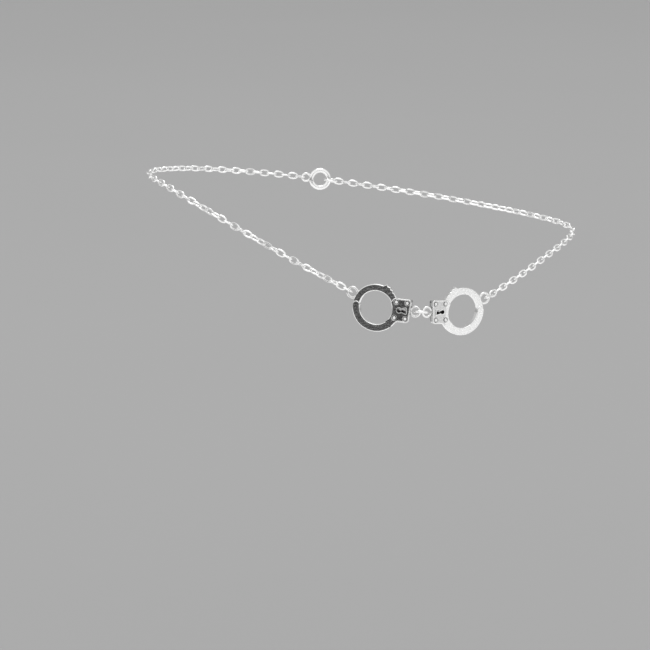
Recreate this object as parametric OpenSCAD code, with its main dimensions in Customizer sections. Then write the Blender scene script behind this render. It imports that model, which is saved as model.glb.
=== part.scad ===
// Anklet: a fine cable chain that carries a pair of small handcuffs, in the shape it has when it is worn.
// The origin is the middle of the ankle's opening, +X points to the heel, -Y to the outer side, +Z up the leg.

/* [Cuffs] */
// Outer radius of the round band
band_outer_r = 5.6; // [5.5:0.05:5.7]
// Radius of the hole in the band
band_hole_r = 3.98; // [3.9:0.02:4.1]
// Thickness of the lower cheek arm
cheek_t = 1.3; // [1.2:0.05:1.4]
// Thickness of the upper swing arm
swing_arm_t = 1.1; // [1:0.05:1.15]
// Bevel along the edges of both arms
band_bevel = 0.18; // [0.1:0.02:0.24]
// Number of ratchet teeth on the swing arm
tooth_count = 4; // [3:1:4]

/* [Lock housing] */
// Distance of the housing's outer end from the cuff's centre
housing_end_x = 8.2; // [8:0.05:8.4]
// Half of the housing's height
housing_half_h = 2.78; // [2.7:0.02:2.9]
// Thickness of the housing
housing_t = 1.4; // [1.4:0.05:1.7]
// Radius of the housing's outer corners
housing_corner_r = 0.7; // [0.5:0.1:0.9]
// Width of the raised border
border_w = 0.3; // [0.2:0.05:0.35]
// Height of the raised border and of the keyhole's rim
relief_h = 0.14; // [0.08:0.02:0.2]
// Radius of a domed rivet
rivet_r = 0.42; // [0.3:0.02:0.44]
// Radius of the keyhole's round end
key_r = 0.48; // [0.4:0.02:0.54]
// Half of the height of the keyhole's wide end
key_flare_half_h = 0.6; // [0.5:0.02:0.7]

/* [Rings] */
// Outer diameter of the soldered ring that holds the chain
chain_ring_d = 3; // [2.9:0.05:3.2]
// Wire of the soldered ring that holds the chain
chain_ring_wire = 0.6; // [0.5:0.05:0.65]
// Outer diameter of the soldered ring at the housing's end
housing_ring_d = 2.8; // [2.7:0.05:2.85]
// Wire of the soldered ring at the housing's end
housing_ring_wire = 0.56; // [0.5:0.02:0.6]
// Outer diameter of the jump ring between the cuffs
centre_ring_d = 3.5; // [3.4:0.05:3.7]
// Wire of the jump ring between the cuffs
centre_ring_wire = 0.6; // [0.5:0.05:0.65]

/* [Chain] */
// Wire of a chain link
link_wire = 0.32; // [0.28:0.01:0.34]
// Outer width of a chain link
link_w = 1.7; // [1.6:0.02:1.8]
// Space left between the wires of two links that hold each other
link_gap = 0.12; // [0.1:0.01:0.14]
// Number of links between the front cuff and the clasp
front_links = 61; // [59, 61, 63]
// Number of links between the heel cuff and the end ring
heel_links = 58; // [56, 58, 60]

/* [Clasp] */
// Outer diameter of the clasp's ring
clasp_d = 5.5; // [5:0.1:6]
// Wire of the clasp's ring
clasp_wire = 1.2; // [1:0.1:1.3]
// Outer diameter of the clasp's eye
eye_d = 2.4; // [2.3:0.05:2.6]
// Wire of the clasp's eye
eye_wire = 0.5; // [0.4:0.05:0.55]
// Outer diameter of the end ring
end_ring_d = 3.6; // [3.5:0.1:4]
// Wire of the end ring
end_ring_wire = 0.6; // [0.5:0.05:0.65]

/* [Hidden] */

// Smoothness of the round parts
$fn = 64;

// Where each cuff hangs: its centre, its turn about the leg, and its tilt in its own plane
FRONT_AT = [3.5, -27, -11.4];
FRONT_TURN = -16.4;
FRONT_TILT = -2.8;
HEEL_AT = [23.35, -24.5, -12.8];
HEEL_TURN = 28;
HEEL_TILT = -4.4;

// Arms: the cheek arm starts at the hinge and is a little wider than the swing arm, both end in the housing
HINGE_ANGLE = 176;
HINGE_OVERLAP_ANGLE = 5;
ARM_END_ANGLE = 29;
CHEEK_PROUD = 0.05;
swing_outer_r = band_outer_r - CHEEK_PROUD;
swing_hole_r = band_hole_r + CHEEK_PROUD;

// Ratchet: the first tooth's angle and radius, the steps to the next, and a tooth's depth and length
FIRST_TOOTH_ANGLE = 67;
FIRST_TOOTH_R = band_outer_r + 0.6;
TOOTH_STEP_ANGLE = 9;
TOOTH_STEP_R = 0.18;
TOOTH_DEPTH = 0.33;
TOOTH_FALL_ANGLE = 3.4;
RATCHET_T = swing_arm_t - 0.1;
RATCHET_FOOT_R = band_hole_r + 0.5;

// Housing: it starts inside the band, and its upright edges lean by this slope
HOUSING_START_X = 3.2;
HOUSING_LEAN = 0.09;
HOUSING_HOLE_R = band_hole_r + 0.02;
BORDER_INSET = 0.04;
RELIEF_ROOT = 0.2;
RIM_ROOT = 0.3;
RIVET_INNER_X = 4.7;
RIVET_OUTER_X = 7.3;
RIVET_Y = 1.88;
RECESS_R = rivet_r + 0.15;
RECESS_DEPTH = 0.14;
RIVET_SINK = 0.2;
KEY_X = 5.6;
KEY_WAIST_X = 6.1;
KEY_END_X = 7.2;
KEY_WAIST_HALF_H = 0.28;
KEY_RIM_W = 0.2;

// Soldered rings: their centres in the cuff's plane
CHAIN_RING_R = 6.55;
CHAIN_RING_ANGLE = 153;
CHAIN_RING_X = CHAIN_RING_R * cos(CHAIN_RING_ANGLE);
CHAIN_RING_Y = CHAIN_RING_R * sin(CHAIN_RING_ANGLE);
HOUSING_RING_X = housing_end_x + 1.05;

// Stations of the chain from the front cuff round the back to the heel cuff
// x, y, z
STATIONS = [
    [-8.9, -23.7, -4.7],
    [-15.5, -21.9, -1.4],
    [-27.7, -18.6, 5.1],
    [-35, -15.9, 9],
    [-41.6, -12, 12.2],
    [-46.6, -6.9, 14.3],
    [-49.7, -1.6, 15.2],
    [-50.2, 4, 15.5],
    [-47.2, 9.7, 15.2],
    [-39.8, 15.2, 14.5],
    [-27.8, 19.6, 13.1],
    [-13.2, 22.6, 11.2],
    [2.4, 23.8, 8.9],
    [17.8, 23.5, 6.5],
    [31.8, 21.6, 4.2],
    [43, 17.9, 2.4],
    [50, 12.9, 1.2],
    [51.6, 7.2, 0.3],
    [49.2, 1, -1],
    [45.1, -4.9, -2.8],
    [38.4, -12.5, -6.1],
    [31.2, -19.4, -9.4]
];
STEPS_PER_STATION = 12;

// The joint of the first link lies this far along the route, inside the soldered ring
CHAIN_START = 0.4;

// Roll of the links about each chain, besides the quarter turn from link to link
// number of the link, roll
FRONT_ROLLS = [[1, -12], [27, 248], [36, 248], [61, 180]];
HEEL_ROLLS = [[1, -8], [3, -32], [14, -36], [22, -46], [58, 0]];

// A cuff's frame: x along the housing and y up in the plate, as directions of the anklet
function cuff_x(turn, tilt) = [cos(turn) * cos(tilt), sin(turn) * cos(tilt), sin(tilt)];
function cuff_y(turn, tilt) = [-cos(turn) * sin(tilt), -sin(turn) * sin(tilt), cos(tilt)];
function cuff_point(at, turn, tilt, x, y) = at + x * cuff_x(turn, tilt) + y * cuff_y(turn, tilt);

// Middles of the soldered rings, and of the jump ring between the two inner ones
front_ring_at = cuff_point(FRONT_AT, FRONT_TURN, FRONT_TILT, CHAIN_RING_X, CHAIN_RING_Y);
heel_ring_at = cuff_point(HEEL_AT, HEEL_TURN, HEEL_TILT, -CHAIN_RING_X, CHAIN_RING_Y);
front_inner_at = cuff_point(FRONT_AT, FRONT_TURN, FRONT_TILT, HOUSING_RING_X, 0);
heel_inner_at = cuff_point(HEEL_AT, HEEL_TURN, HEEL_TILT, -HOUSING_RING_X, 0);
// The jump ring hangs a little further out than half way between them, clear of both
CENTRE_RING_SHIFT = [0, -0.18, 0];
CENTRE_RING_TIP = [-12, 4.5, 0];
centre_ring_at = (front_inner_at + heel_inner_at) / 2 + CENTRE_RING_SHIFT;

function unit(v) = v / norm(v);

// End of the route at a soldered ring: it lies inside the ring, in line with the ring's wire and the station
chain_ring_r = (chain_ring_d - chain_ring_wire) / 2;
function route_end(ring_at, turn, tilt, station) =
    let (
        x = cuff_x(turn, tilt),
        y = cuff_y(turn, tilt),
        away = station - ring_at,
        wire_at = ring_at + chain_ring_r * unit((away * x) * x + (away * y) * y)
    )
    wire_at - chain_ring_r * unit(station - wire_at);
front_start = route_end(front_ring_at, FRONT_TURN, FRONT_TILT, STATIONS[0]);
heel_start = route_end(heel_ring_at, HEEL_TURN, HEEL_TILT, STATIONS[len(STATIONS) - 1]);

// Smooth route through the stations: each stretch is a cubic whose ends lean as their neighbours lie
function stretch(a, b, c, d, t) =
    (2 * b + (c - a) * t + (2 * a - 5 * b + 4 * c - d) * t * t + (3 * b - a - 3 * c + d) * t * t * t) / 2;
knots = concat([front_start], STATIONS, [heel_start]);
last_knot = len(knots) - 1;
function knot(i) =
    i < 0 ? 2 * knots[0] - knots[1] :
    i > last_knot ? 2 * knots[last_knot] - knots[last_knot - 1] :
    knots[i];
route = concat(
    [for (i = [0:last_knot - 1], k = [0:STEPS_PER_STATION - 1])
        stretch(knot(i - 1), knot(i), knot(i + 1), knot(i + 2), k / STEPS_PER_STATION)],
    [knots[last_knot]]
);

// Length of the route up to each of its points, and the point at a given length
function steps_to(i) = i < len(route) ? norm(route[i] - route[i - 1]) : 0;
lengths = [for (i = 0, sum = 0; i < len(route); i = i + 1, sum = sum + steps_to(i)) sum];
route_length = lengths[len(route) - 1];
function axis_table(axis) = [for (i = [0:len(route) - 1]) [lengths[i], route[i][axis]]];
x_table = axis_table(0);
y_table = axis_table(1);
z_table = axis_table(2);
function route_point(s) = [lookup(s, x_table), lookup(s, y_table), lookup(s, z_table)];

// A link hooks this far past its joint with the next one
link_hook = (link_wire + link_gap) / 2;
link_bend_r = (link_w - link_wire) / 2;

// Clasp: the middle of each ring, measured from the front chain's last joint
EYE_SINK = 0.45;
RING_GAP = 0.12;
eye_r = (eye_d - eye_wire) / 2;
clasp_r = (clasp_d - clasp_wire) / 2;
end_ring_r = (end_ring_d - end_ring_wire) / 2;
eye_along = link_hook + eye_r - (eye_wire + link_wire) / 2 - RING_GAP;
clasp_along = eye_along + (eye_d + clasp_d) / 2 - EYE_SINK;
end_ring_along = clasp_along + clasp_r + end_ring_r - (clasp_wire + end_ring_wire) / 2 - RING_GAP;
clasp_total = end_ring_along + end_ring_r - (end_ring_wire + link_wire) / 2 - RING_GAP + link_hook;

// Distance between joints: what the clasp leaves of the route is shared out among all links
chain_length = route_length - 2 * CHAIN_START - clasp_total;
link_pitch = chain_length / (front_links + heel_links);
front_end = CHAIN_START + front_links * link_pitch;
clasp_at = route_point(front_end);
clasp_axis = route_point(front_end + clasp_total) - clasp_at;

// Places children in a frame with the given x and y directions
module in_frame(at, x, y) {
    z = cross(x, y);
    multmatrix([
        [x[0], y[0], z[0], at[0]],
        [x[1], y[1], z[1], at[1]],
        [x[2], y[2], z[2], at[2]],
        [0, 0, 0, 1]
    ]) children();
}

// Places children with their x along the chain and their y up the leg, then rolls them about x
module along_chain(at, direction, roll) {
    x = unit(direction);
    side = unit(cross([0, 0, 1], x));
    up = cross(x, side);
    in_frame(at, x, cos(roll) * up + sin(roll) * side) children();
}

// Round wire ring, flat in the xy plane
module wire_ring(outer_d, wire) {
    rotate_extrude() translate([(outer_d - wire) / 2, 0]) circle(d = wire);
}

// Section of an arm with bevelled edges, between two radii
module arm_section(inner, outer, t) {
    polygon([
        [inner + band_bevel, -t / 2],
        [outer - band_bevel, -t / 2],
        [outer, band_bevel - t / 2],
        [outer, t / 2 - band_bevel],
        [outer - band_bevel, t / 2],
        [inner + band_bevel, t / 2],
        [inner, t / 2 - band_bevel],
        [inner, band_bevel - t / 2]
    ]);
}

// Upper arm, from the housing over the top to just past the hinge
module swing_arm() {
    rotate([0, 0, ARM_END_ANGLE])
        rotate_extrude(angle = HINGE_ANGLE + HINGE_OVERLAP_ANGLE - ARM_END_ANGLE)
            arm_section(swing_hole_r, swing_outer_r, swing_arm_t);
}

// Lower arm, from the hinge's round end under the hole to the housing
module cheek_arm() {
    half_w = (band_outer_r - band_hole_r) / 2;
    rotate([0, 0, HINGE_ANGLE]) {
        rotate_extrude(angle = 360 - ARM_END_ANGLE - HINGE_ANGLE)
            arm_section(band_hole_r, band_outer_r, cheek_t);
        translate([band_hole_r + half_w, 0, 0]) rotate_extrude() polygon([
            [0, -cheek_t / 2],
            [half_w - band_bevel, -cheek_t / 2],
            [half_w, band_bevel - cheek_t / 2],
            [half_w, cheek_t / 2 - band_bevel],
            [half_w - band_bevel, cheek_t / 2],
            [0, cheek_t / 2]
        ]);
    }
}

function polar(angle, r) = [r * cos(angle), r * sin(angle)];
function tooth_angle(i) = FIRST_TOOTH_ANGLE - i * TOOTH_STEP_ANGLE;
function tooth_r(i) = FIRST_TOOTH_R - i * TOOTH_STEP_R;

// Stair of ratchet teeth along the swing arm's outer edge
module ratchet() {
    last = tooth_count - 1;
    middle = (tooth_angle(0) + tooth_angle(last)) / 2;
    linear_extrude(height = RATCHET_T, center = true) polygon(concat(
        [polar(tooth_angle(0) + TOOTH_STEP_ANGLE, RATCHET_FOOT_R)],
        [polar(tooth_angle(0) + 2 * TOOTH_FALL_ANGLE, tooth_r(0) - 2 * TOOTH_DEPTH)],
        [for (i = [0:last], k = [0, 1])
            polar(tooth_angle(i) - k * TOOTH_FALL_ANGLE, tooth_r(i) - k * TOOTH_DEPTH)],
        [polar(tooth_angle(last) - TOOTH_STEP_ANGLE, RATCHET_FOOT_R)],
        [polar(middle, RATCHET_FOOT_R)]
    ));
}

// Outline of the housing from a given x on, drawn in from its edges, with round outer corners
module housing_outline(start_x, inset) {
    r = housing_corner_r - inset;
    h = housing_half_h - inset;
    end_x = housing_end_x - inset;
    low = [end_x - HOUSING_LEAN * h - r, r - h];
    high = [end_x + HOUSING_LEAN * h - r, h - r];
    polygon(concat(
        [[start_x, -h]],
        [for (a = [0:15:90]) low + polar(a - 90, r)],
        [for (a = [0:15:90]) high + polar(a, r)],
        [[start_x, h]]
    ));
}

// Keyhole outline, its round end towards the cuff's hole, grown by the width of its rim
module key_outline(rim) {
    translate([KEY_X, 0]) circle(r = key_r + rim);
    polygon([
        [KEY_X, -KEY_WAIST_HALF_H - rim],
        [KEY_WAIST_X, -KEY_WAIST_HALF_H - rim],
        [KEY_END_X + rim, -key_flare_half_h - rim],
        [KEY_END_X + rim, key_flare_half_h + rim],
        [KEY_WAIST_X, KEY_WAIST_HALF_H + rim],
        [KEY_X, KEY_WAIST_HALF_H + rim]
    ]);
}

// Places children at the four rivets, on the housing's face
module at_rivets() {
    for (x = [RIVET_INNER_X, RIVET_OUTER_X], y = [-RIVET_Y, RIVET_Y])
        translate([x + HOUSING_LEAN * y, y, housing_t / 2]) children();
}

// Lock housing with its raised border and keyhole rim, cut out round the cuff's hole
module housing() {
    face = housing_t / 2;
    difference() {
        union() {
            linear_extrude(height = housing_t, center = true) housing_outline(HOUSING_START_X, 0);
            translate([0, 0, face - RELIEF_ROOT]) linear_extrude(height = RELIEF_ROOT + relief_h)
                difference() {
                    housing_outline(HOUSING_START_X + BORDER_INSET, BORDER_INSET);
                    housing_outline(0, border_w);
                }
            translate([0, 0, face - RIM_ROOT]) linear_extrude(height = RIM_ROOT + relief_h)
                key_outline(KEY_RIM_W);
        }
        cylinder(h = 3 * housing_t, r = HOUSING_HOLE_R, center = true);
    }
}

// One cuff in its own frame, cast in one piece with its two soldered rings
module cuff() {
    difference() {
        union() {
            swing_arm();
            cheek_arm();
            ratchet();
            housing();
        }
        linear_extrude(height = 3 * housing_t, center = true) key_outline(0);
        at_rivets() cylinder(h = 2 * RECESS_DEPTH, r = RECESS_R, center = true);
    }
    at_rivets() translate([0, 0, -RIVET_SINK]) sphere(r = rivet_r);
    translate([CHAIN_RING_X, CHAIN_RING_Y, 0]) wire_ring(chain_ring_d, chain_ring_wire);
    translate([HOUSING_RING_X, 0, 0]) wire_ring(housing_ring_d, housing_ring_wire);
}

module front_cuff() {
    color("silver")
        in_frame(FRONT_AT, cuff_x(FRONT_TURN, FRONT_TILT), cuff_y(FRONT_TURN, FRONT_TILT)) cuff();
}

module heel_cuff() {
    color("silver")
        in_frame(HEEL_AT, cuff_x(HEEL_TURN, HEEL_TILT), cuff_y(HEEL_TURN, HEEL_TILT))
            mirror([1, 0, 0]) cuff();
}

module centre_ring() {
    color("silver") translate(centre_ring_at) rotate(CENTRE_RING_TIP)
        wire_ring(centre_ring_d, centre_ring_wire);
}

// One oval link of round wire, its length along x and its width along y
module link() {
    // Rounded to a thousandth of a millimetre, so that the straight wires meet the bends exactly
    straight = round(1000 * (link_pitch / 2 + link_hook - link_bend_r)) / 1000;
    for (end = [0, 180]) rotate([0, 0, end]) {
        translate([straight, 0, 0]) rotate([0, 0, -90]) rotate_extrude(angle = 180)
            translate([link_bend_r, 0]) circle(d = link_wire);
        translate([0, link_bend_r, 0]) rotate([0, 90, 0])
            cylinder(d = link_wire, h = 2 * straight, center = true);
    }
}

// Link between the joints at two lengths along the route
module link_between(from, to, roll) {
    a = route_point(from);
    b = route_point(to);
    along_chain((a + b) / 2, b - a, roll) link();
}

module front_chain() {
    color("silver") for (i = [1:front_links])
        link_between(
            CHAIN_START + (i - 1) * link_pitch,
            CHAIN_START + i * link_pitch,
            i * 90 + lookup(i, FRONT_ROLLS)
        );
}

module heel_chain() {
    color("silver") for (i = [1:heel_links])
        link_between(
            route_length - CHAIN_START - i * link_pitch,
            route_length - CHAIN_START - (i - 1) * link_pitch,
            i * 90 + lookup(i, HEEL_ROLLS)
        );
}

// Plain ring clasp with its eye, flat against the leg
module clasp() {
    color("silver") along_chain(clasp_at, clasp_axis, 0) {
        translate([eye_along, 0, 0]) wire_ring(eye_d, eye_wire);
        translate([clasp_along, 0, 0]) wire_ring(clasp_d, clasp_wire);
    }
}

module end_ring() {
    color("silver") along_chain(clasp_at, clasp_axis, 90)
        translate([end_ring_along, 0, 0]) wire_ring(end_ring_d, end_ring_wire);
}

front_cuff();
heel_cuff();
centre_ring();
front_chain();
heel_chain();
clasp();
end_ring();
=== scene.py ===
import bpy
import numpy as np
from bpy.props import FloatProperty, FloatVectorProperty, IntProperty, PointerProperty
from mathutils import Euler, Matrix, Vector


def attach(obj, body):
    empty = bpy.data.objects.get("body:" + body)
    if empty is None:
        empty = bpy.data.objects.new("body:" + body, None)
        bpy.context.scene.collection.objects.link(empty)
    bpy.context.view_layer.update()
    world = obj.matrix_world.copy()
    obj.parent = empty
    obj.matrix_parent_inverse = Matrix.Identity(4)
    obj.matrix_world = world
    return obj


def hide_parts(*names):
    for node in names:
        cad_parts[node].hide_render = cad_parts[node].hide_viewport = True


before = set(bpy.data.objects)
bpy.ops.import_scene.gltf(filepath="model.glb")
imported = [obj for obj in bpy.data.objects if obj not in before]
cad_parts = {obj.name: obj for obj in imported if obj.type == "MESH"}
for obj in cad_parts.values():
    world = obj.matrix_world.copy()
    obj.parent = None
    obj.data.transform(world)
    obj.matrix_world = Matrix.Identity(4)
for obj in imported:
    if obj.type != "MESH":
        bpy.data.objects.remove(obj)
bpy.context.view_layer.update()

# Anklet: a fine cable chain that carries a pair of small handcuffs, in the shape it has when it is worn.
# Lengths are metres and angles degrees. +X points to the heel side, -Y to the outer side and +Z upwards.

bl_info = {
    "name": "Handcuff anklet",
    "version": (1, 0, 0),
    "blender": (4, 5, 0),
    "location": "View3D > Sidebar > Anklet",
    "description": "Makes the finished surfaces of a cable-chain anklet with small handcuffs",
    "category": "Add Mesh",
}

# Length of a millimetre in metres
MM = 0.001

# Where each cuff hangs: its middle in millimetres, turn about z, tilt in its own plane, and sign along x
#            x      y      z      turn   tilt  sign
CUFF_PLACES = {
    "front_cuff": (3.5, -27, -11.4, -16.4, -2.8, 1),
    "heel_cuff": (23.35, -24.5, -12.8, 28, -4.4, -1),
}

# Arms: angles of their ends, how far the cheek arm stands out, and how much thinner the hinge's disc is
HINGE_ANGLE = 176
SWING_HIDDEN_ANGLE = 20
SWING_TUCK_ANGLE = 5
CHEEK_HIDDEN_ANGLE = 318
CHEEK_PROUD_IN = 0.14 * MM
CHEEK_PROUD_OUT = 0.05 * MM
DISC_LOWERED = 0.004 * MM

# Ratchet: the first tooth's angle and height on the arm, the steps to the next, a tooth's depth and length
FIRST_TOOTH_ANGLE = 67
FIRST_TOOTH_OUT = 0.65 * MM
TOOTH_STEP_ANGLE = 9
TOOTH_STEP_R = 0.18 * MM
TOOTH_DEPTH = 0.33 * MM
TOOTH_FALL_ANGLE = 3.4

# Plate of the lock housing: it runs into the cheek arm through a fillet, and its upper end is cut slantwise
PLATE_LEAN = 0.09
PLATE_FILLET_R = 1.2 * MM
PLATE_ARM_ANGLE = -50
PLATE_CUT_ANGLE = 27
PLATE_CUT_X = 4.3 * MM
PLATE_ROUND = 0.15 * MM
PLATE_HOLE_GROWTH = 0.02 * MM
ON_ARM_ANGLE = 0.3
BORDER_FADE_X = (4.5 * MM, 5.3 * MM)
BORDER_ROUND = 0.1 * MM
STEP_WALL = 0.05 * MM

# Rivets and keyhole, in the cuff's plane
RIVET_XS = (4.7 * MM, 7.3 * MM)
RIVET_Y = 1.88 * MM
RECESS_MARGIN = 0.15 * MM
RECESS_DEPTH = 0.14 * MM
RECESS_WALL = 0.16 * MM
RIVET_SINK = 0.2 * MM
KEY_X = 5.6 * MM
KEY_WAIST_X = 6.1 * MM
KEY_END_X = 7.2 * MM
KEY_WAIST_HALF_H = 0.28 * MM
KEY_RIM_W = 0.22 * MM
KEY_BACK_RIM = 0.1 * MM
KEY_DRAFT = 0.2 * MM
KEY_RIM_ROUND = 0.05 * MM
KEY_EYE = np.array([6.2, 0]) * MM
KEY_REACH = 2 * MM

# Painted shade in the tarnish colour: its share in the recesses, on the plate's face and on its end, and each
# place's margin and fade
RECESS_PAINTED_SHADE = 0.45
FACE_PAINTED_SHADE = 0.24
FACE_SHADE_X = 4.2 * MM
FACE_SHADE_FADE = 0.8 * MM
FACE_MARGIN = 0.02 * MM
END_PAINTED_SHADE = 0.8
END_SHADE_FADE = 0.3 * MM
SIDE_MARGIN = 0.03 * MM
KEY_WALL_MARGIN = 0.06 * MM
KEY_RIM_SHARE = 0.7

# Soldered rings
CHAIN_RING_R = 6.55 * MM
CHAIN_RING_ANGLE = 153
HOUSING_RING_OUT = 1.05 * MM

# Jump ring between the cuffs: how far it hangs out from the middle of its two rings, and how it tips
CENTRE_RING_SHIFT = np.array([0, -0.18, 0]) * MM
CENTRE_RING_TIP = (-12, 4.5, 0)

# Stations of the chain from the front cuff round the back to the heel cuff
#    x      y      z
STATIONS = np.array([
    (-8.9, -23.7, -4.7),
    (-15.5, -21.9, -1.4),
    (-27.7, -18.6, 5.1),
    (-35, -15.9, 9),
    (-41.6, -12, 12.2),
    (-46.6, -6.9, 14.3),
    (-49.7, -1.6, 15.2),
    (-50.2, 4, 15.5),
    (-47.2, 9.7, 15.2),
    (-39.8, 15.2, 14.5),
    (-27.8, 19.6, 13.1),
    (-13.2, 22.6, 11.2),
    (2.4, 23.8, 8.9),
    (17.8, 23.5, 6.5),
    (31.8, 21.6, 4.2),
    (43, 17.9, 2.4),
    (50, 12.9, 1.2),
    (51.6, 7.2, 0.3),
    (49.2, 1, -1),
    (45.1, -4.9, -2.8),
    (38.4, -12.5, -6.1),
    (31.2, -19.4, -9.4),
]) * MM
STEPS_PER_STATION = 12
CHAIN_START = 0.4 * MM

# Roll of the links about each chain, besides the quarter turn from link to link: the link's number, its roll
FRONT_ROLLS = np.array([(1, -12), (27, 248), (36, 248), (61, 180)])
HEEL_ROLLS = np.array([(1, -8), (3, -32), (14, -36), (22, -46), (58, 0)])

# How full the oval of a link is: 2 makes a plain ellipse
LINK_OVAL = 2.4

# Clasp: how deep its eye is sunk in it, and the play left between rings
EYE_SINK = 0.45 * MM
RING_GAP = 0.12 * MM

# Fineness of the surfaces, and how the calm curve of the plate's face leans and keeps clear
FLAT_MARGIN = 0.04 * MM
OUTLINE_STEP = 0.02 * MM
ARC_STEP_ANGLE = 1.5
ARC_POINTS = 25
LONG_ARC_POINTS = 61
ROUND_STEPS = 5
RING_STEPS = 72
WIRE_SIDES = 18
DOME_RINGS = 24
DOME_SIDES = 32
DOME_POLE_ANGLE = 4
LINK_STEPS = 24
LINK_SIDES = 10
PLATE_RAYS = 400
RAY_CLEAR_ANGLE = 0.3
PLATE_FACE_RINGS = 36
PLATE_OUTER_RINGS = 8
PLATE_BACK_RINGS = 6
HALVINGS = 22
CALM_LEAN = 0.07 * MM
CALM_MARGIN = 0.03 * MM
SHARP_ANGLE = 35

# Noise of the finishes: spots a metre, the strokes' turn and stretch, and the values it is spread from
WIRE_CLOUD = 500
WIRE_SCRATCHES = 6000
WIRE_DENTS = 2500
CAST_GRAIN = 5200
CAST_STROKES = 2600
STROKE_TURN = (0, 0, 20)
STROKE_STRETCH = (0.5, 1.5, 1.5)
FLOOR_CLOUD = 3
NOISE_FROM, NOISE_TO = 0.3, 0.7

# Finishes: shares of tarnish, spreads of the roughness, depths of the bumps in metres, the floor's values
CLOUD_TARNISH = 0.08
GRAIN_TARNISH = 0.25
SCRATCH_SPREAD = (0.7, 1.4)
STROKE_SPREAD = (0.75, 1.35)
WIRE_BUMP = 4e-6
CAST_BUMP = 1.5e-6
FLOOR_SHADE = 0.96
FLOOR_ROUGHNESS = 0.9
FLOOR_SPECULAR = 0.1

UP = np.array([0, 0, 1.0])
TINY = np.finfo(float).tiny


class CuffSizes(bpy.types.PropertyGroup):
    """Sizes of one cuff with its two soldered rings."""

    band_outer_r: FloatProperty(
        name="Band radius", description="Outer radius of the round band",
        default=5.63 * MM, unit="LENGTH", precision=5)
    band_hole_r: FloatProperty(
        name="Hole radius", description="Radius of the hole in the band",
        default=3.84 * MM, unit="LENGTH", precision=5)
    cheek_t: FloatProperty(
        name="Cheek arm", description="Thickness of the lower cheek arm",
        default=1.34 * MM, unit="LENGTH", precision=5)
    swing_arm_t: FloatProperty(
        name="Swing arm", description="Thickness of the upper swing arm",
        default=1.1 * MM, unit="LENGTH", precision=5)
    band_round: FloatProperty(
        name="Edge", description="Radius of the rounded edges of both arms",
        default=0.2 * MM, unit="LENGTH", precision=5)
    tooth_count: IntProperty(
        name="Teeth", description="Number of ratchet teeth on the swing arm", default=4, min=1)
    housing_end_x: FloatProperty(
        name="Housing end", description="Distance of the housing's outer end from the cuff's middle",
        default=8.2 * MM, unit="LENGTH", precision=5)
    housing_half_h: FloatProperty(
        name="Housing half height", description="Half of the housing's height",
        default=2.78 * MM, unit="LENGTH", precision=5)
    housing_t: FloatProperty(
        name="Housing", description="Thickness of the housing's plate",
        default=1.344 * MM, unit="LENGTH", precision=5)
    housing_corner_r: FloatProperty(
        name="Housing corner", description="Radius of the housing's outer corners",
        default=0.7 * MM, unit="LENGTH", precision=5)
    border_w: FloatProperty(
        name="Border", description="Width of the raised border",
        default=0.3 * MM, unit="LENGTH", precision=5)
    relief_h: FloatProperty(
        name="Relief", description="Height of the raised border and of the keyhole's rim",
        default=0.14 * MM, unit="LENGTH", precision=5)
    rivet_r: FloatProperty(
        name="Rivet", description="Radius of a domed rivet",
        default=0.42 * MM, unit="LENGTH", precision=5)
    key_r: FloatProperty(
        name="Keyhole", description="Radius of the keyhole's round end",
        default=0.48 * MM, unit="LENGTH", precision=5)
    key_flare_half_h: FloatProperty(
        name="Keyhole flare", description="Half of the height of the keyhole's wide end",
        default=0.6 * MM, unit="LENGTH", precision=5)
    chain_ring_d: FloatProperty(
        name="Chain ring", description="Outer diameter of the soldered ring that holds the chain",
        default=3 * MM, unit="LENGTH", precision=5)
    chain_ring_wire: FloatProperty(
        name="Chain ring wire", description="Wire of the soldered ring that holds the chain",
        default=0.6 * MM, unit="LENGTH", precision=5)
    housing_ring_d: FloatProperty(
        name="Housing ring", description="Outer diameter of the soldered ring at the housing's end",
        default=2.8 * MM, unit="LENGTH", precision=5)
    housing_ring_wire: FloatProperty(
        name="Housing ring wire", description="Wire of the soldered ring at the housing's end",
        default=0.56 * MM, unit="LENGTH", precision=5)


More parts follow.
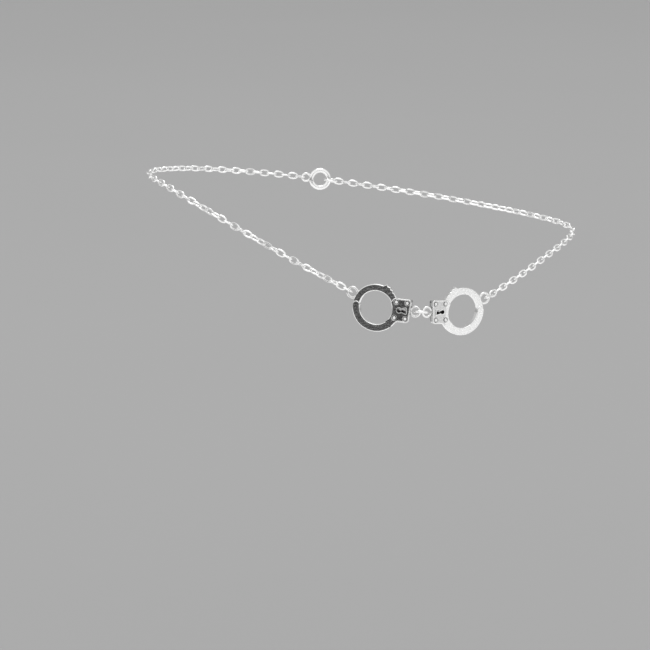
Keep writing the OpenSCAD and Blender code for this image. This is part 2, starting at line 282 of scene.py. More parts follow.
class ChainSizes(bpy.types.PropertyGroup):
    """Sizes of the links, the jump ring and the clasp."""

    link_wire: FloatProperty(
        name="Link wire", description="Wire of a chain link",
        default=0.4 * MM, unit="LENGTH", precision=5)
    link_w: FloatProperty(
        name="Link width", description="Outer width of a chain link",
        default=1.7 * MM, unit="LENGTH", precision=5)
    link_play: FloatProperty(
        name="Link play", description="Space between the wires of two links that hold each other",
        default=0.02 * MM, unit="LENGTH", precision=5)
    front_links: IntProperty(
        name="Front links", description="Number of links between the front cuff and the clasp", default=61)
    heel_links: IntProperty(
        name="Heel links", description="Number of links between the heel cuff and the end ring", default=58)
    route_wire: FloatProperty(
        name="Route wire", description="Wire for which the clasp's place on the route is worked out",
        default=0.32 * MM, unit="LENGTH", precision=5)
    route_gap: FloatProperty(
        name="Route gap", description="Gap between links for which the clasp's place is worked out",
        default=0.12 * MM, unit="LENGTH", precision=5)
    centre_ring_d: FloatProperty(
        name="Jump ring", description="Outer diameter of the jump ring between the cuffs",
        default=3.5 * MM, unit="LENGTH", precision=5)
    centre_ring_wire: FloatProperty(
        name="Jump ring wire", description="Wire of the jump ring between the cuffs",
        default=0.6 * MM, unit="LENGTH", precision=5)
    clasp_d: FloatProperty(
        name="Clasp", description="Outer diameter of the clasp's ring",
        default=5.5 * MM, unit="LENGTH", precision=5)
    clasp_wire: FloatProperty(
        name="Clasp wire", description="Wire of the clasp's ring",
        default=1.2 * MM, unit="LENGTH", precision=5)
    eye_d: FloatProperty(
        name="Eye", description="Outer diameter of the clasp's eye",
        default=2.4 * MM, unit="LENGTH", precision=5)
    eye_wire: FloatProperty(
        name="Eye wire", description="Wire of the clasp's eye",
        default=0.5 * MM, unit="LENGTH", precision=5)
    end_ring_d: FloatProperty(
        name="End ring", description="Outer diameter of the end ring",
        default=3.6 * MM, unit="LENGTH", precision=5)
    end_ring_wire: FloatProperty(
        name="End ring wire", description="Wire of the end ring",
        default=0.6 * MM, unit="LENGTH", precision=5)


class SilverFinish(bpy.types.PropertyGroup):
    """Colours and polish of the silver."""

    silver: FloatVectorProperty(
        name="Silver", description="Colour of clean silver",
        default=(0.93, 0.93, 0.925), subtype="COLOR", min=0, max=1)
    # Dark colour used both for random tarnish spots and for painted shade in the keyhole, the rivet recesses
    # and on the plate's face and end
    tarnish_and_painted_shade: FloatVectorProperty(
        name="Tarnish", description="Colour of the silver in recesses and corners",
        default=(0.025, 0.025, 0.024), subtype="COLOR", min=0, max=1)
    wire_roughness: FloatProperty(
        name="Wire roughness", description="Roughness of the polished wire",
        default=0.16, min=0, max=1, subtype="FACTOR")
    cast_roughness: FloatProperty(
        name="Cast roughness", description="Roughness of the cuffs' brushed faces",
        default=0.17, min=0, max=1, subtype="FACTOR")


class StageLook(bpy.types.PropertyGroup):
    """Floor, sky and light."""

    floor_z: FloatProperty(
        name="Floor", description="Height of the floor under the anklet's middle",
        default=-0.1, unit="LENGTH")
    floor_colour: FloatVectorProperty(
        name="Floor colour", description="Colour of the pale floor",
        default=(0.39, 0.39, 0.39), subtype="COLOR", min=0, max=1)
    sky: FloatProperty(
        name="Sky", description="Strength of the soft light from all round", default=1.0, min=0)
    sky_behind: FloatProperty(
        name="Sky behind", description="Strength that the sky fades to behind the anklet", default=0.5, min=0)
    top_bright: FloatProperty(
        name="Top light", description="Brightness of the soft light above", default=1.8, min=0)


def unit(v):
    """Each vector scaled to length one: v / |v|."""
    return v / np.linalg.norm(v, axis=-1, keepdims=True)


def ease(t):
    """Smooth step from 0 to 1: 3 t^2 - 2 t^3, with t held between 0 and 1."""
    t = np.clip(t, 0, 1)
    return t * t * (3 - 2 * t)


def turned(angles):
    """Directions in the plane at the given angles: (cos, sin)."""
    a = np.radians(angles)
    return np.stack((np.cos(a), np.sin(a)), -1)


def arc(centre, radius, start, end, count=ARC_POINTS):
    """Points on a circle: centre + radius * (cos, sin), from one angle to the other."""
    return np.asarray(centre) + radius * turned(np.linspace(start, end, count))


def stack_of(rings, wraps):
    """A surface through closed rings, an array of rings x points x 3.

    Quads join each ring to the next. The rings run anticlockwise seen from the end that the stack grows to.
    A stack that doesn't wrap round to its first ring is closed by a flat face at each end.
    """
    rows, cols = rings.shape[:2]
    r = np.arange(rows if wraps else rows - 1)[:, None]
    c = np.arange(cols)[None, :]
    next_r = (r + 1) % rows * cols
    next_c = (c + 1) % cols
    quads = np.stack((r * cols + c, r * cols + next_c, next_r + next_c, next_r + c), -1)
    faces = [quads.reshape(-1, 4)]
    if not wraps:
        first = np.arange(cols)[None, :]
        faces += [first[:, ::-1], first + (rows - 1) * cols]
    return rings.reshape(-1, 3), faces


def carried(path, side, up, profile):
    """A profile carried along a path: path + profile's first number * side + its second number * up.

    side, up and the path's direction are right-handed, and the profile runs anticlockwise from side to up.
    """
    return path[:, None] + profile[None, :, :1] * side[:, None] + profile[None, :, 1:] * up[:, None]


def joined(*surfaces):
    """Several surfaces as one: each one's points are numbered on from the last one's."""
    starts = np.cumsum([0] + [len(points) for points, _ in surfaces])
    points = np.concatenate([points for points, _ in surfaces])
    faces = [f + start for (_, group), start in zip(surfaces, starts) for f in group]
    return points, faces


def moved(surface, offset):
    """The surface, each point + offset."""
    points, faces = surface
    return points + np.asarray(offset), faces


def set_down(surface, places, axes):
    """The surface once for each place: place + point's x, y, z * that place's three axes."""
    points, faces = surface
    copies = places[:, None] + points @ axes
    steps = np.arange(len(places))[:, None, None] * len(points)
    return copies.reshape(-1, 3), [(f[None] + steps).reshape(-1, f.shape[1]) for f in faces]


def in_frame(surface, place, axes):
    """The surface in a frame: place + point's x, y, z * its three axes."""
    return set_down(surface, np.asarray(place)[None], np.asarray(axes)[None])


def rounded_box(half_x, half_y, radius):
    """A rectangle's outline, anticlockwise: a quarter circle about each corner's centre.

    A point a little way along each flat, before and after the corner, keeps the flats looking flat.
    """
    corners = np.array([0, 90, 180, 270])[:, None]
    centres = np.array([(1, 1), (-1, 1), (-1, -1), (1, -1)])[:, None] * (half_x - radius, half_y - radius)
    points = centres + radius * turned(corners + np.linspace(0, 90, ROUND_STEPS + 1))
    before = points[:, :1] - FLAT_MARGIN * turned(corners + 90)
    after = points[:, -1:] + FLAT_MARGIN * turned(corners + 180)
    return np.concatenate((before, points, after), axis=1).reshape(-1, 2)


def wire_ring(outer_d, wire):
    """Torus in the xy plane: the wire's circle carried round a circle of the ring's middle radius."""
    radial = np.column_stack((turned(np.arange(RING_STEPS) * 360 / RING_STEPS), np.zeros(RING_STEPS)))
    path = radial * (outer_d - wire) / 2
    circle = wire / 2 * turned(np.arange(WIRE_SIDES) * 360 / WIRE_SIDES)
    return stack_of(carried(path, np.broadcast_to(UP, path.shape), radial, circle), True)


def arm(inner, outer, thickness, edge, angles, raised=0):
    """Curved bar: a rectangle with round edges carried along an arc.

    Each of its rings is middle radius * (cos, sin) + the rectangle, the outer half of it raised outwards.
    """
    radial = np.column_stack((turned(angles), np.zeros(len(angles))))
    profile = rounded_box(thickness / 2, (outer - inner) / 2, edge)
    rings = carried(radial * (inner + outer) / 2, np.broadcast_to(UP, radial.shape), radial, profile)
    rings[:, :len(profile) // 2] += np.reshape(raised, (-1, 1, 1)) * radial[:, None]
    return stack_of(rings, False)


def disc(radius, thickness, edge):
    """Flat round piece: half of a rounded rectangle's outline turned about z."""
    quarter = turned(np.linspace(-90, 0, ROUND_STEPS + 1)) * edge + (radius - edge, edge - thickness / 2)
    under = np.vstack((quarter[0] - (FLAT_MARGIN, 0), quarter))
    outline = np.concatenate((under, under[::-1] * (1, -1)))
    round_about = turned(np.arange(RING_STEPS) * 360 / RING_STEPS)
    flat = outline[:, None, :1] * round_about[None]
    height = np.broadcast_to(outline[:, None, 1:], flat[..., :1].shape)
    return stack_of(np.concatenate((flat, height), -1), False)


def dome(radius, place):
    """Ball: circles of radius * sin(polar angle) at the heights -radius * cos(polar angle)."""
    polar = np.radians(np.linspace(DOME_POLE_ANGLE, 180 - DOME_POLE_ANGLE, DOME_RINGS))
    round_about = turned(np.arange(DOME_SIDES) * 360 / DOME_SIDES)
    flat = radius * np.sin(polar)[:, None, None] * round_about[None]
    height = np.broadcast_to(-radius * np.cos(polar)[:, None, None], flat[..., :1].shape)
    return moved(stack_of(np.concatenate((flat, height), -1), False), place)


def with_points_between(outline, spacing):
    """The same closed outline with more points: places along its length, besides its own corners."""
    closed = np.vstack((outline, outline[:1]))
    along = np.r_[0, np.cumsum(np.linalg.norm(np.diff(closed, axis=0), axis=1))]
    places = np.union1d(along, np.arange(0, along[-1], spacing))[:-1]
    return np.column_stack([np.interp(places, along, closed[:, k]) for k in (0, 1)])


def angles_about(points, eye):
    """Angle of each point seen from the eye, in degrees."""
    return np.degrees(np.arctan2(points[:, 1] - eye[1], points[:, 0] - eye[0]))


def turns_apart(angles, others):
    """How many degrees each of the angles lies from each of the others, the short way round."""
    return np.abs((angles[:, None] - others + 180) % 360 - 180)


def on_rays(outline, eye, angles):
    """Where rays from the eye cross the outline: eye + its distance at that angle * (cos, sin)."""
    fine = with_points_between(outline, OUTLINE_STEP)
    distance = np.linalg.norm(fine - eye, axis=1)
    at = np.interp(angles, angles_about(fine, eye), distance, period=360)
    return eye + at[:, None] * turned(angles)


def distances(points, outline):
    """Distance of each point from a closed outline: the least of those from its edges.

    The nearest point of an edge is its start + t * the edge, with t held between 0 and 1.
    """
    edges = np.roll(outline, -1, axis=0) - outline
    away = points[:, None] - outline
    squares = np.maximum(np.sum(edges ** 2, axis=-1), TINY)
    t = np.clip(np.sum(away * edges, axis=-1) / squares, 0, 1)
    return np.linalg.norm(away - t[..., None] * edges, axis=-1).min(axis=1)


def beside(outline, eye, angles, distance, reach):
    """A closed curve at a distance from the outline, a point of it on each ray from the eye.

    Each ray is halved again and again between its crossing with the outline and a place further off, which is
    the eye itself for a reach of 0, and further out by the reach otherwise.
    """
    crossing = np.linalg.norm(on_rays(outline, eye, angles) - eye, axis=1)
    near, far = crossing, (crossing + reach if reach else 0 * crossing)
    for _ in range(HALVINGS):
        middle = (near + far) / 2
        beyond = distances(eye + middle[:, None] * turned(angles), outline) > distance
        near, far = np.where(beyond, near, middle), np.where(beyond, middle, far)
    return eye + ((near + far) / 2)[:, None] * turned(angles)


def rounding():
    """A round edge of radius 1: how far it is drawn in from the side and back from the face, side first."""
    return 1 - turned(np.linspace(0, 90, ROUND_STEPS + 1))


def tooth_edge(s):
    """Outer edge of the ratchet: angles, and heights over the arm, a tip and a base for each tooth."""
    teeth = np.arange(s.tooth_count)[:, None]
    drop = np.arange(2)[None, :]
    angles = FIRST_TOOTH_ANGLE - teeth * TOOTH_STEP_ANGLE - drop * TOOTH_FALL_ANGLE
    heights = FIRST_TOOTH_OUT - teeth * TOOTH_STEP_R - drop * TOOTH_DEPTH
    angles = np.append(FIRST_TOOTH_ANGLE + 2 * TOOTH_FALL_ANGLE, angles)
    heights = np.append(FIRST_TOOTH_OUT - 2 * TOOTH_DEPTH, heights)
    return angles[::-1], heights[::-1]


def key_outline(s):
    """Keyhole, anticlockwise: its flared end, its waist, and the rest of a circle."""
    meet = np.degrees(np.arcsin(KEY_WAIST_HALF_H / s.key_r))
    return np.vstack((
        (KEY_END_X, -s.key_flare_half_h),
        (KEY_END_X, s.key_flare_half_h),
        (KEY_WAIST_X, KEY_WAIST_HALF_H),
        arc((KEY_X, 0), s.key_r, meet, 360 - meet, LONG_ARC_POINTS),
        (KEY_WAIST_X, -KEY_WAIST_HALF_H),
    ))


def plate_outline(s):
    """Housing plate, anticlockwise: the band, a fillet, three sides with round corners, the cut, the hole."""
    h, r, fillet = s.housing_half_h, s.housing_corner_r, PLATE_FILLET_R
    band, hole = s.band_outer_r, s.band_hole_r + PLATE_HOLE_GROWTH
    fillet_x = np.sqrt((band + fillet) ** 2 - (h + fillet) ** 2)
    fillet_angle = -np.degrees(np.arcsin((h + fillet) / (band + fillet)))
    lean = PLATE_LEAN * h
    return np.vstack((
        arc((0, 0), band, PLATE_ARM_ANGLE, fillet_angle),
        arc((fillet_x, -h - fillet), fillet, 180 + fillet_angle, 90)[1:],
        arc((s.housing_end_x - lean - r, r - h), r, -90, 0),
        arc((s.housing_end_x + lean - r, h - r), r, 0, 90),
        (PLATE_CUT_X, h),
        arc((0, 0), hole, PLATE_CUT_ANGLE, PLATE_ARM_ANGLE, LONG_ARC_POINTS),
    ))


def rivet_places(s):
    """Middles of the four rivets in the cuff's plane, leaning as the housing's end does."""
    x, y = np.meshgrid(RIVET_XS, (-RIVET_Y, RIVET_Y))
    return np.column_stack((x.ravel() + PLATE_LEAN * y.ravel(), y.ravel()))


def recess_share(points, s):
    """1 in the round recess about a rivet and 0 outside it, eased over the recess wall."""
    nearest = np.linalg.norm(points[:, None, :2] - rivet_places(s)[None], axis=-1).min(axis=1)
    return ease((s.rivet_r + RECESS_MARGIN - nearest) / RECESS_WALL + 0.5)


def plate(s):
    """Housing plate with its keyhole, one surface of rings between the keyhole and the plate's edge.

    The rings climb the keyhole's wall and rim, cross the face, climb the border, round the edge, go down the
    side, and cross the back to the keyhole again, which narrows towards the back by its draft. On the face
    a ring is the blend (1 - w) * rim + w * calm, and its height drops by the recesses round the rivets. The
    calm curve follows the border's base, but changes its distance from the keyhole no faster than by the
    calm lean for each degree.
    """
    corners = angles_about(np.vstack((key_outline(s)[:3], plate_outline(s))), KEY_EYE)
    corners = np.unique(np.round(corners, 1))
    regular = np.arange(PLATE_RAYS) * 360 / PLATE_RAYS - 180
    clear = turns_apart(regular, corners).min(axis=1) > RAY_CLEAR_ANGLE
    angles = np.union1d(regular[clear], corners)
    edge = on_rays(plate_outline(s), KEY_EYE, angles)
    low, high = -s.housing_t / 2, s.housing_t / 2
    fade_from, fade_to = BORDER_FADE_X
    share = ease((edge[:, 0] - fade_from) / (fade_to - fade_from))
    border = s.relief_h * share
    on_arm = np.abs(angles_about(edge, (0, 0)) - PLATE_ARM_ANGLE) < ON_ARM_ANGLE
    edge_round = np.where(on_arm, 0, s.band_round + (PLATE_ROUND - s.band_round) * share)
    soften = rounding()
    rings = []

    def ring(points, height):
        rings.append(np.column_stack((points, np.broadcast_to(height, len(points)))))

    def outside_key(distance):
        return beside(key_outline(s), KEY_EYE, angles, distance, KEY_REACH)

    def inside_edge(distance):
        return beside(plate_outline(s), KEY_EYE, angles, distance, 0)

    ring(beside(key_outline(s), KEY_EYE, angles, KEY_DRAFT, 0), low)
    crest = high + s.relief_h
    for back, down in KEY_RIM_ROUND * soften:
        ring(outside_key(back), crest - down)
    for back, down in KEY_RIM_ROUND * soften[::-1]:
        ring(outside_key(KEY_RIM_W - back), crest - down)
    ring(outside_key(KEY_RIM_W + STEP_WALL), high)
    rim = outside_key(KEY_RIM_W + 2 * STEP_WALL)
    base = inside_edge(s.border_w + 2 * STEP_WALL)
    out = np.linalg.norm(base - KEY_EYE, axis=1)
    calm_out = (out + CALM_LEAN * turns_apart(angles, angles)).min(axis=1) - CALM_MARGIN
    calm = KEY_EYE + calm_out[:, None] * turned(angles)
    for w in np.linspace(0, 1, PLATE_FACE_RINGS):
        points = (1 - w) * rim + w * calm
        ring(points, high - RECESS_DEPTH * recess_share(points, s))
    for w in np.linspace(0, 1, PLATE_OUTER_RINGS)[1:]:
        points = (1 - w) * calm + w * base
        ring(points, high - RECESS_DEPTH * recess_share(points, s))
    ring(inside_edge(s.border_w + STEP_WALL), high)
    for back, down in BORDER_ROUND * soften:
        ring(inside_edge(s.border_w - back), high + border * (1 - down / s.relief_h))
    for back, down in soften[::-1]:
        ring(inside_edge(edge_round * back), high + border - edge_round * down)
    for back, up in soften:
        ring(inside_edge(edge_round * back), low + edge_round * up)
    end_rim = inside_edge(2 * s.band_round)
    back_rim = outside_key(KEY_BACK_RIM)
    for w in np.linspace(0, 1, PLATE_BACK_RINGS):
        ring((1 - w) * end_rim + w * back_rim, low)
    return stack_of(np.array(rings)[::-1], True)


def painted_shade_marks(points, s):
    """How much painted shade each point of a cuff gets: full in the keyhole, less in recesses, on the plate's
    face and end.

    A point is on the plate's face where it lies in front, inside the plate's edge and not above the face.
    """
    face = s.housing_t / 2
    flat, height = points[:, :2], points[:, 2]
    angles = angles_about(flat, KEY_EYE)
    out = np.linalg.norm(flat - KEY_EYE, axis=1)
    key = np.linalg.norm(on_rays(key_outline(s), KEY_EYE, angles) - KEY_EYE, axis=1)
    edge = np.linalg.norm(on_rays(plate_outline(s), KEY_EYE, angles) - KEY_EYE, axis=1)
    # Painted shade: the keyhole's wall, up to near the top of its rim, is made fully dark, standing in for
    # the darkness seen in the hole
    wall = (out < key + KEY_WALL_MARGIN) & (height < face + s.relief_h - KEY_RIM_SHARE * KEY_RIM_ROUND)
    in_front = (height > 0) & (height < face + FACE_MARGIN) & (out < edge)
    # Painted shade in the recesses round the rivets
    recess = RECESS_PAINTED_SHADE * recess_share(points, s)
    # Painted shade on the plate's face, growing towards the housing's end, standing in for a dark reflection
    plain = FACE_PAINTED_SHADE * ease((points[:, 0] - FACE_SHADE_X) / FACE_SHADE_FADE)
    # Painted shade on the plate's side at the housing's end
    on_side = (np.abs(out - edge) < SIDE_MARGIN) & (height < face + s.relief_h - BORDER_ROUND)
    to_end = points[:, 0] - PLATE_LEAN * points[:, 1] - s.housing_end_x
    end = END_PAINTED_SHADE * ease(to_end / END_SHADE_FADE + 1) * on_side
    return np.where(wall, 1.0, np.where(in_front, np.maximum(recess, plain), end))


def cuff(s):
    """One cuff in its own frame: both arms, the hinge, the housing, the rivets and the soldered rings."""
    inner, outer = s.band_hole_r, s.band_outer_r
    half_w = (outer - inner) / 2
    middle_r = (inner + outer) / 2
    face = s.housing_t / 2
    rivets = [(*place, face - RIVET_SINK) for place in rivet_places(s)]
    tooth_angles, tooth_heights = tooth_edge(s)
    swing = np.arange(SWING_HIDDEN_ANGLE, HINGE_ANGLE + SWING_TUCK_ANGLE, ARC_STEP_ANGLE)
    swing = np.union1d(swing, tooth_angles)
    raised = np.maximum(np.interp(swing, tooth_angles, tooth_heights, left=0, right=0), 0)
    cheek = np.arange(HINGE_ANGLE, CHEEK_HIDDEN_ANGLE, ARC_STEP_ANGLE)
    return joined(
        arm(inner + CHEEK_PROUD_IN, outer - CHEEK_PROUD_OUT, s.swing_arm_t, s.band_round, swing, raised),
        arm(inner, outer, s.cheek_t, s.band_round, cheek),
        moved(disc(half_w, s.cheek_t - DISC_LOWERED, s.band_round), [*(middle_r * turned(HINGE_ANGLE)), 0]),
        plate(s),
        *[dome(s.rivet_r, place) for place in rivets],
        moved(wire_ring(s.chain_ring_d, s.chain_ring_wire), [*(CHAIN_RING_R * turned(CHAIN_RING_ANGLE)), 0]),
        moved(wire_ring(s.housing_ring_d, s.housing_ring_wire), [s.housing_end_x + HOUSING_RING_OUT, 0, 0]),
    )


def cuff_axes(turn, tilt):
    """The cuff's x, y and z as directions of the anklet: x turned about z and tilted, y square to it."""
    t, k = np.radians((turn, tilt))
    x = np.array([np.cos(t) * np.cos(k), np.sin(t) * np.cos(k), np.sin(k)])
    y = np.array([-np.cos(t) * np.sin(k), -np.sin(t) * np.sin(k), np.cos(k)])
    return np.array([x, y, np.cross(x, y)])


def cuff_point(name, x, y):
    """A point of the cuff's plane, x measured towards its housing, in the anklet's frame."""
    *at, turn, tilt, sign = CUFF_PLACES[name]
    axes = cuff_axes(turn, tilt)
    return np.array(at) * MM + sign * x * axes[0] + y * axes[1]


def housing_ring_at(name, s):
    """Middle of the soldered ring at the housing's end."""
    return cuff_point(name, s.housing_end_x + HOUSING_RING_OUT, 0)


def route_end(name, s, station):
    """End of the route: inside the soldered ring, in line with the ring's wire and the nearest station."""
    *_, turn, tilt, _ = CUFF_PLACES[name]
    x, y, _ = cuff_axes(turn, tilt)
    ring_at = cuff_point(name, *(CHAIN_RING_R * turned(CHAIN_RING_ANGLE)))
    middle_r = (s.chain_ring_d - s.chain_ring_wire) / 2
    away = station - ring_at
    wire_at = ring_at + middle_r * unit((away @ x) * x + (away @ y) * y)
    return wire_at - middle_r * unit(station - wire_at)


def chain_route(s):
    """Points along the smooth route and their lengths from its start.

    Each stretch between two knots is the cubic through them whose ends lean as their neighbours lie.
    """
    first = route_end("front_cuff", s, STATIONS[0])
    last = route_end("heel_cuff", s, STATIONS[-1])
    knots = np.vstack((first, STATIONS, last))
    around = np.vstack((2 * knots[0] - knots[1], knots, 2 * knots[-1] - knots[-2]))
    a, b, c, d = (around[k:len(around) - 3 + k, None] for k in range(4))
    t = (np.arange(STEPS_PER_STATION) / STEPS_PER_STATION)[None, :, None]
    cubic = 2 * b + (c - a) * t + (2 * a - 5 * b + 4 * c - d) * t ** 2 + (3 * b - a - 3 * c + d) * t ** 3
    points = np.vstack((cubic.reshape(-1, 3) / 2, knots[-1:]))
    lengths = np.r_[0, np.cumsum(np.linalg.norm(np.diff(points, axis=0), axis=1))]
    return points, lengths


def route_points(route, along):
    """Points at the given lengths along the route."""
    points, lengths = route
    return np.stack([np.interp(along, lengths, points[:, k]) for k in range(3)], -1)


def chain_axes(directions, rolls):
    """Three axes for each place: x along the chain, y upwards but rolled about x, z square to both."""
    x = unit(directions)
    side = unit(np.cross(UP, x))
    roll = np.radians(rolls)[:, None]
    y = np.cos(roll) * np.cross(x, side) + np.sin(roll) * side
    return np.stack((x, y, np.cross(x, y)), axis=1)


def clasp_layout(c):
    """Middles of the eye, clasp ring and end ring, and the whole length, from the front chain's end."""
    hook = (c.route_wire + c.route_gap) / 2
    eye_r, clasp_r = (c.eye_d - c.eye_wire) / 2, (c.clasp_d - c.clasp_wire) / 2
    end_r = (c.end_ring_d - c.end_ring_wire) / 2
    eye = hook + eye_r - (c.eye_wire + c.route_wire) / 2 - RING_GAP
    ring = eye + (c.eye_d + c.clasp_d) / 2 - EYE_SINK
    end = ring + clasp_r + end_r - (c.clasp_wire + c.end_ring_wire) / 2 - RING_GAP
    total = end + end_r - (c.end_ring_wire + c.route_wire) / 2 - RING_GAP + hook
    return eye, ring, end, total


def link_pitch(c, length):
    """Length of route for each link: what the clasp and both starts leave, shared by all the links."""
    return (length - 2 * CHAIN_START - clasp_layout(c)[-1]) / (c.front_links + c.heel_links)


def link(c, pitch):
    """Oval link in the xy plane: the wire's circle carried round a full oval.

    The oval is an ellipse pushed outwards at its shoulders:
    (a cos t, b sin t) / (|cos t|^n + |sin t|^n)^(1/n).
    """
    reach = pitch / 2 + (c.link_wire + c.link_play) / 2
    ray = turned(np.arange(LINK_STEPS) * 360 / LINK_STEPS)
    fullness = np.sum(np.abs(ray) ** LINK_OVAL, axis=1, keepdims=True) ** (-1 / LINK_OVAL)
    oval = ray * fullness * (reach, (c.link_w - c.link_wire) / 2)
    path = np.column_stack((oval, np.zeros(LINK_STEPS)))
    outward = np.cross(unit(np.roll(path, -1, axis=0) - np.roll(path, 1, axis=0)), UP)
    circle = c.link_wire / 2 * turned(np.arange(LINK_SIDES) * 360 / LINK_SIDES)
    return stack_of(carried(path, np.broadcast_to(UP, path.shape), outward, circle), True)


def add_piece(name, surface, node, material, shade_per_point=None):
    """Makes a piece of the surface, in place of the node, shaded smooth except at its sharp edges."""
    points, faces = surface
    mesh = bpy.data.meshes.new(name)
    mesh.from_pydata(points.tolist(), [], [face for group in faces for face in group.tolist()])
    mesh.polygons.foreach_set("use_smooth", np.ones(len(mesh.polygons), dtype=bool))
    mesh.set_sharp_from_angle(angle=np.radians(SHARP_ANGLE))
    if shade_per_point is not None:
        # The painted shade of each point is stored as an attribute
        mesh.attributes.new("tarnish_and_painted_shade", "FLOAT", "POINT").data.foreach_set("value", shade_per_point.astype(np.float32))
    mesh.materials.append(material)
    piece = bpy.data.objects.new(name, mesh)
    bpy.context.scene.collection.objects.link(piece)
    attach(piece, "root")
    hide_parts(node)
    return piece


class NodeSheet:
    """A material's nodes, made and joined in short calls."""

    def __init__(self, name):
        self.material = bpy.data.materials.new(name)
        self.material.use_nodes = True
        self.tree = self.material.node_tree
        self.shader = self.tree.nodes["Principled BSDF"]
        self.place = self.add("ShaderNodeTexCoord").outputs["Object"]

    def add(self, kind, **settings):
        """A node with the given settings."""
        node = self.tree.nodes.new(kind)
        for key, value in settings.items():
            setattr(node, key, value)
        return node

    def join(self, output, socket):
        """A link from an output to a socket."""
        self.tree.links.new(output, socket)

    def noise(self, scale, detail=2, place=None):
        """Soft noise with this many spots a metre, in the object's space or at another place."""
        noise = self.add("ShaderNodeTexNoise")
        noise.inputs["Scale"].default_value = scale
        noise.inputs["Detail"].default_value = detail
        self.join(place or self.place, noise.inputs["Vector"])
        return noise.outputs["Fac"]

    def drawn_out(self, turn, scale):
        """The object's space turned and then scaled, which draws a noise out where the scale is small."""
        mapping = self.add("ShaderNodeMapping")
        mapping.inputs["Rotation"].default_value = Euler(np.radians(turn))
        mapping.inputs["Scale"].default_value = scale
        self.join(self.place, mapping.inputs["Vector"])
        return mapping.outputs["Vector"]

    def ranged(self, noise, low, high):
        """The noise spread over the numbers from low to high."""
        node = self.add("ShaderNodeMapRange")
        ends = {"From Min": NOISE_FROM, "From Max": NOISE_TO, "To Min": low, "To Max": high}
        for key, number in ends.items():
            node.inputs[key].default_value = number
        self.join(noise, node.inputs["Value"])
        return node.outputs["Result"]

    def added(self, first, second):
        """The sum of two values, held between 0 and 1."""
        node = self.add("ShaderNodeMath", operation="ADD", use_clamp=True)
        self.join(first, node.inputs[0])
        self.join(second, node.inputs[1])
        return node.outputs["Value"]

    def mixed(self, share, first, second):
        """Two colours mixed by a share."""
        node = self.add("ShaderNodeMix", data_type="RGBA")
        self.join(share, node.inputs["Factor"])
        node.inputs["A"].default_value = (*first, 1)
        node.inputs["B"].default_value = (*second, 1)
        return node.outputs["Result"]

    def bumped(self, height, depth):
        """A bump of the given depth in metres, joined to the shader."""
        node = self.add("ShaderNodeBump")
        node.inputs["Distance"].default_value = depth
        self.join(height, node.inputs["Height"])
        self.join(node.outputs["Normal"], self.shader.inputs["Normal"])


def drawn_silver(name, look):
    """Drawn wire, polished: scratches in its roughness, a faint cloud in its colour, a bump of soft dents."""
    sheet = NodeSheet(name)
    sheet.shader.inputs["Metallic"].default_value = 1
    tone = sheet.ranged(sheet.noise(WIRE_CLOUD), 0, CLOUD_TARNISH)
    sheet.join(sheet.mixed(tone, look.silver, look.tarnish_and_painted_shade), sheet.shader.inputs["Base Color"])
    scratches = sheet.noise(WIRE_SCRATCHES, detail=3)
    rough = sheet.ranged(scratches, *(look.wire_roughness * k for k in SCRATCH_SPREAD))
    sheet.join(rough, sheet.shader.inputs["Roughness"])
    sheet.bumped(sheet.noise(WIRE_DENTS), WIRE_BUMP)
    return sheet.material


def cast_silver(name, look):
    """Cast silver with brushed faces: grain in its colour, strokes in roughness and bump, painted shade from
    a point attribute.
    """
    sheet = NodeSheet(name)
    sheet.shader.inputs["Metallic"].default_value = 1
    grain = sheet.noise(CAST_GRAIN, detail=3)
    strokes = sheet.noise(CAST_STROKES, detail=1, place=sheet.drawn_out(STROKE_TURN, STROKE_STRETCH))
    # Painted shade, read from the points' attribute and added to the random tarnish grain
    painted_shade_share = sheet.add("ShaderNodeAttribute", attribute_name="tarnish_and_painted_shade").outputs["Fac"]
    spotted = sheet.ranged(grain, 0, GRAIN_TARNISH)
    tarnish_and_shade_share = sheet.added(spotted, painted_shade_share)
    sheet.join(sheet.mixed(tarnish_and_shade_share, look.silver, look.tarnish_and_painted_shade), sheet.shader.inputs["Base Color"])
    rough = sheet.ranged(strokes, *(look.cast_roughness * k for k in STROKE_SPREAD))
    sheet.join(rough, sheet.shader.inputs["Roughness"])
    sheet.bumped(strokes, CAST_BUMP)
    return sheet.material


def made_material(name, maker):
    """The material of that name, made once."""
    return bpy.data.materials.get(name) or maker(name, bpy.context.scene.anklet_finish)


class ANKLET_OT_cuffs(bpy.types.Operator):
    """Makes both handcuffs, the heel one a mirror image."""

    bl_idname = "anklet.cuffs"
    bl_label = "Handcuffs"

    def execute(self, context):
        sizes = context.scene.anklet_cuff
        points, faces = cuff(sizes)
        # Painted shade for each point: the keyhole, the rivet recesses and the plate's face and end
        shade_per_point = painted_shade_marks(points, sizes)
        material = made_material("cast_silver", cast_silver)
        for name, (*at, turn, tilt, sign) in CUFF_PLACES.items():
            own = points * (sign, 1, 1), [f[:, ::sign] for f in faces]
            place = np.array(at) * MM
            surface = in_frame(own, place, cuff_axes(turn, tilt))
            add_piece(f"cast_{name}", surface, name, material, shade_per_point)
        return {"FINISHED"}


class ANKLET_OT_centre_ring(bpy.types.Operator):
    """Makes the jump ring that joins the two cuffs."""

    bl_idname = "anklet.centre_ring"
    bl_label = "Jump ring"

    def execute(self, context):
        cuffs, sizes = context.scene.anklet_cuff, context.scene.anklet_chain
        middle = (housing_ring_at("front_cuff", cuffs) + housing_ring_at("heel_cuff", cuffs)) / 2
        axes = np.array(Euler(np.radians(CENTRE_RING_TIP)).to_matrix()).T
        ring = wire_ring(sizes.centre_ring_d, sizes.centre_ring_wire)
        material = made_material("drawn_silver", drawn_silver)
        surface = in_frame(ring, middle + CENTRE_RING_SHIFT, axes)
        add_piece("jump_ring", surface, "centre_ring", material)
        return {"FINISHED"}


